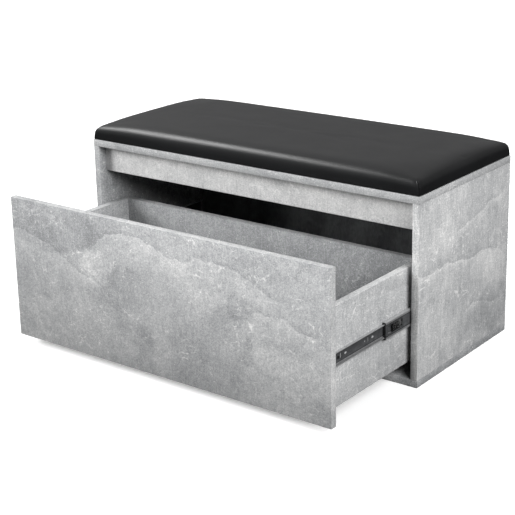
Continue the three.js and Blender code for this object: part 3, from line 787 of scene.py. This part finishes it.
def pad_point(x, y, depth, travel):
    """The cover's point for a grid point that lies depth inside the grid's outline."""
    inset, height = pad_section(travel)
    if travel > TURN:
        flat = max(depth - SHOULDER_LENGTH / 2, 0.0)
        inset += flat * (PAD_HALF_Y - SHOULDER_WIDTH) / (PAD_HALF_Y - SHOULDER_LENGTH / 2)
        corner = TOP_CORNER_ROUNDING * (1 - eased(flat / CORNER_ROUNDING_REACH))
    else:
        widening = TOP_CORNER_ROUNDING - FOOT_CORNER_ROUNDING
        corner = FOOT_CORNER_ROUNDING + widening * eased(travel / TURN)
    half_x, half_y = PAD_HALF_X - inset, PAD_HALF_Y - inset
    x *= half_x / (PAD_HALF_X - depth)
    y *= half_y / (PAD_HALF_Y - depth)
    past_x, past_y = abs(x) - (half_x - corner), abs(y) - (half_y - corner)
    if past_x > 0 and past_y > 0:
        reach = max(past_x, past_y) / math.hypot(past_x, past_y)
        x = math.copysign(half_x - corner + past_x * reach, x)
        y = math.copysign(half_y - corner + past_y * reach, y)
    return x, y, height


def cut_cover():
    """The cover as it is cut and folded round the base board: one open sheet of quads, from hem to hem."""
    xs, ys = grid_lines(PAD_HALF_X), grid_lines(PAD_HALF_Y)
    columns, rows = len(xs), len(ys)
    points = []
    for y in ys:
        for x in xs:
            depth = min(PAD_HALF_X - abs(x), PAD_HALF_Y - abs(y))
            points.append(pad_point(x, y, depth, TURN + max(depth, 1e-6)))
    faces = []
    for row in range(rows - 1):
        for column in range(columns - 1):
            first = row * columns + column
            faces.append((first, first + 1, first + columns + 1, first + columns))

    outline = [(column, 0) for column in range(columns - 1)]
    outline += [(columns - 1, row) for row in range(rows - 1)]
    outline += [(column, rows - 1) for column in range(columns - 1, 0, -1)]
    outline += [(0, row) for row in range(rows - 1, 0, -1)]
    side_rings = np.linspace(TURN, FOLD_START, 9)[1:]
    hem_rings = -np.linspace(FOLD_START, HEM_WIDTH, 6)
    travels = [*side_rings, *hem_rings]
    above = [row * columns + column for column, row in outline]
    for travel in travels:
        ring = []
        for column, row in outline:
            ring.append(len(points))
            points.append(pad_point(xs[column], ys[row], 0.0, travel))
        for index in range(len(ring)):
            after = (index + 1) % len(ring)
            faces.append((above[index], ring[index], ring[after], above[after]))
        above = ring
    mesh = bpy.data.meshes.new("seat_cover_skin")
    mesh.from_pydata(points, [], faces)
    mesh.update()
    piece = bpy.data.objects.new("seat_cover_skin", mesh)
    bpy.context.scene.collection.objects.link(piece)
    return piece


def positions(mesh):
    places = np.empty(len(mesh.vertices) * 3)
    mesh.vertices.foreach_get("co", places)
    return places.reshape(-1, 3)


def place_vertices(mesh, places):
    mesh.vertices.foreach_set("co", places.ravel())
    mesh.update()


def vertex_normals(mesh):
    normals = np.empty(len(mesh.vertices) * 3)
    mesh.vertex_normals.foreach_get("vector", normals)
    return normals.reshape(-1, 3)


def swell(piece):
    """Lets the foam press the cover out: cloth under pressure, held where it is stapled to the base board."""
    scene = bpy.context.scene
    rest = positions(piece.data)
    held = piece.vertex_groups.new(name="held")
    for index, height in enumerate(rest[:, 2]):
        held.add([index], 1 - eased((height - PAD_BOTTOM - STAPLED_HEIGHT) / FREE_ABOVE), "REPLACE")
    cloth = piece.modifiers.new("cloth", "CLOTH")
    settings = cloth.settings
    settings.quality = 5
    settings.mass = 0.3
    settings.use_pressure = True
    settings.uniform_pressure_force = 0.28
    settings.vertex_group_mass = "held"
    settings.effector_weights.gravity = 0
    cloth.point_cache.frame_start = 1
    cloth.point_cache.frame_end = CLOTH_FRAMES
    for moment in range(1, CLOTH_FRAMES + 1):
        scene.frame_set(moment)
    swollen = piece.evaluated_get(bpy.context.evaluated_depsgraph_get())
    moved = positions(swollen.data) - rest
    normals = vertex_normals(piece.data)
    out = (moved * normals).sum(axis=1)
    piece.modifiers.remove(cloth)
    piece.vertex_groups.remove(held)
    scene.frame_set(1)
    limit = np.where(out > 0, SWELL_LIMIT, SINK_LIMIT)
    place_vertices(piece.data, rest + normals * (limit * np.tanh(out / limit))[:, None])


def draw_in(mesh):
    """Draws the cover down towards its corners, where it is tightest, and its sides in between them."""
    places = positions(mesh)
    from_end = PAD_HALF_X - np.abs(places[:, 0])
    from_face = PAD_HALF_Y - np.abs(places[:, 1])
    rise = np.maximum(places[:, 2] - PAD_BOTTOM, 0)
    share = np.clip((rise - PULL_START) / PULL_GROWTH, 0, 1)
    for axis, half, other in ((0, PAD_HALF_X, PAD_HALF_Y), (1, PAD_HALF_Y, PAD_HALF_X)):
        between = 1 - (places[:, 1 - axis] / other) ** 2
        near_edge = bell(half - np.abs(places[:, axis]), SHOULDER_WIDTH)
        places[:, axis] -= np.sign(places[:, axis]) * SIDE_PULL * between * near_edge * share
    places[:, 2] -= CORNER_DIP * bell(np.hypot(from_end, from_face), CORNER_REACH) * rise
    place_vertices(mesh, places)


def applied(piece):
    """Makes a piece's modifiers final."""
    graph = bpy.context.evaluated_depsgraph_get()
    mesh = bpy.data.meshes.new_from_object(piece.evaluated_get(graph), depsgraph=graph)
    piece.modifiers.clear()
    piece.data = mesh


def fold_corners(mesh):
    """Presses the folded pleat into each upright corner: a crease from the shoulder to the lower edge and,
    beside it on the front or back, the lip of the fold."""
    places = positions(mesh)
    from_end = PAD_HALF_X - np.abs(places[:, 0])
    from_face = PAD_HALF_Y - np.abs(places[:, 1])
    height = places[:, 2] - PAD_BOTTOM
    tall = PAD_TOP - PAD_BOTTOM
    level = np.clip(height / tall, 0, 1)
    crease = 1.2 * MM * np.sin(level * math.pi) - 0.5 * MM
    across = from_end - from_face - crease
    below_shoulder = np.clip((tall - 6 * MM - height) / (5 * MM), 0, 1)
    fade = below_shoulder * below_shoulder * (3 - 2 * below_shoulder)
    at_corner = np.maximum(from_end, from_face) < CREASE_REACH
    lip = CREASE_DEPTH * bell(across - 2.4 * MM, 1.5 * MM)
    groove = CREASE_DEPTH * bell(across, 1.0 * MM)
    press = (lip - groove) * fade * at_corner
    place_vertices(mesh, places + vertex_normals(mesh) * press[:, None])


def make_foam(skin, material):
    """The foam inside the cover: the cover's own shape, one leather thickness in, down to the base board."""
    mesh = bmesh.new()
    mesh.from_mesh(skin.data)
    mesh.normal_update()
    for vertex in mesh.verts:
        vertex.co -= vertex.normal * (LEATHER_THICKNESS + 0.4 * MM)
    floor_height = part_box("seat_base")[1].z + 0.2 * MM
    bmesh.ops.bisect_plane(
        mesh,
        geom=mesh.verts[:] + mesh.edges[:] + mesh.faces[:],
        plane_co=(0, 0, floor_height),
        plane_no=(0, 0, 1),
        clear_inner=True,
    )
    rim = [edge for edge in mesh.edges if edge.is_boundary]
    bmesh.ops.contextual_create(mesh, geom=rim)
    bmesh.ops.recalc_face_normals(mesh, faces=mesh.faces[:])
    data = bpy.data.meshes.new("foam_core")
    mesh.to_mesh(data)
    mesh.free()
    data.materials.append(material)
    core = bpy.data.objects.new("foam_core", data)
    bpy.context.scene.collection.objects.link(core)
    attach(core, "carcass")
    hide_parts("seat_foam")


def make_pad():
    skin = cut_cover()
    swell(skin)
    draw_in(skin.data)
    make_foam(skin, foam("foam"))
    smooth = skin.modifiers.new("smooth", "SUBSURF")
    smooth.levels = smooth.render_levels = 1
    applied(skin)
    fold_corners(skin.data)
    skin.data.materials.append(faux_leather("faux_leather"))
    for face in skin.data.polygons:
        face.use_smooth = True
    thick = skin.modifiers.new("leather", "SOLIDIFY")
    thick.thickness = LEATHER_THICKNESS
    thick.offset = -1
    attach(skin, "carcass")
    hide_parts("seat_cover")


# ---------- Bolts of the cam locks ----------

BOLT_HEAD_FROM_JOINT = 26.4 * MM
BOLT_REACH = 10.6 * MM
THREAD_PITCH = 1.5 * MM


def bolt_profile():
    """(radius, height) of a cam bolt, from its head, below 0, to the tip of its thread. Height 0 is the joint
    between the two boards."""
    head = -BOLT_HEAD_FROM_JOINT
    profile = [
        (0.0, head),
        (2.2 * MM, head),
        (2.9 * MM, head + 0.7 * MM),
        (2.9 * MM, head + 2.3 * MM),
        (1.8 * MM, head + 3.2 * MM),
        (1.8 * MM, head + 6.5 * MM),
        (2.9 * MM, head + 7.2 * MM),
        (2.9 * MM, -3.0 * MM),
        (3.3 * MM, -2.8 * MM),
        (3.3 * MM, -0.3 * MM),
    ]
    turns = int((BOLT_REACH - 1.5 * MM) / THREAD_PITCH)
    for turn in range(turns):
        start = turn * THREAD_PITCH
        profile.append((1.9 * MM, start))
        profile.append((2.4 * MM, start + THREAD_PITCH / 2))
    profile.append((1.9 * MM, turns * THREAD_PITCH))
    profile.append((0.0, BOLT_REACH))
    return profile


def lathe(name, profile, sides=20):
    """A closed solid turned about Z. Its profile's first and last points are on the axis."""
    mesh = bmesh.new()
    first = mesh.verts.new((0, 0, profile[0][1]))
    last = mesh.verts.new((0, 0, profile[-1][1]))
    rings = []
    for radius, height in profile[1:-1]:
        angles = [2 * math.pi * side / sides for side in range(sides)]
        rings.append([mesh.verts.new((radius * math.cos(a), radius * math.sin(a), height)) for a in angles])
    for side in range(sides):
        after = (side + 1) % sides
        mesh.faces.new((first, rings[0][after], rings[0][side]))
        mesh.faces.new((last, rings[-1][side], rings[-1][after]))
        for low, high in zip(rings, rings[1:]):
            mesh.faces.new((low[side], low[after], high[after], high[side]))
    data = bpy.data.meshes.new(name)
    mesh.to_mesh(data)
    mesh.free()
    for face in data.polygons:
        face.use_smooth = True
    piece = bpy.data.objects.new(name, data)
    bpy.context.scene.collection.objects.link(piece)
    return piece


def make_bolts(material):
    """A bolt for each cam lock, through the end of the cam's board into its neighbour."""
    top_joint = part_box("top_panel")[0].z
    rail_low, rail_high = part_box("front_rail")
    front_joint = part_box("drawer_front")[1].y
    for node in sorted(frame["nodes"]):
        if "_cam_" not in node:
            continue
        low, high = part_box(node)
        middle = (low + high) / 2
        outward = math.copysign(1, middle.x)
        if node.startswith("top_"):
            panel_low, panel_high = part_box("side_panel_right")
            joint = Vector((outward * (panel_low.x + panel_high.x) / 2, middle.y, top_joint))
            toward = (0, 0, 1)
        elif node.startswith("rail_"):
            joint = Vector((outward * rail_high.x, (rail_low.y + rail_high.y) / 2, middle.z))
            toward = (outward, 0, 0)
        else:
            side_low, side_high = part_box("drawer_side_right")
            joint = Vector((outward * (side_low.x + side_high.x) / 2, front_joint, middle.z))
            toward = (0, -1, 0)
        bolt = lathe(node.replace("_cam_", "_cam_bolt_"), bolt_profile())
        turn = Vector(toward).to_track_quat("Z", "Y").to_matrix().to_4x4()
        bolt.matrix_world = Matrix.Translation(joint) @ turn
        bolt.data.materials.append(material)
        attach(bolt, frame["nodes"][node]["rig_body"])


make_camera()
make_light()
make_floor()
soften_edges()
paint_boards()
paint_other_nodes()
make_pad()
make_bolts(zinc_plate("bolt_steel"))
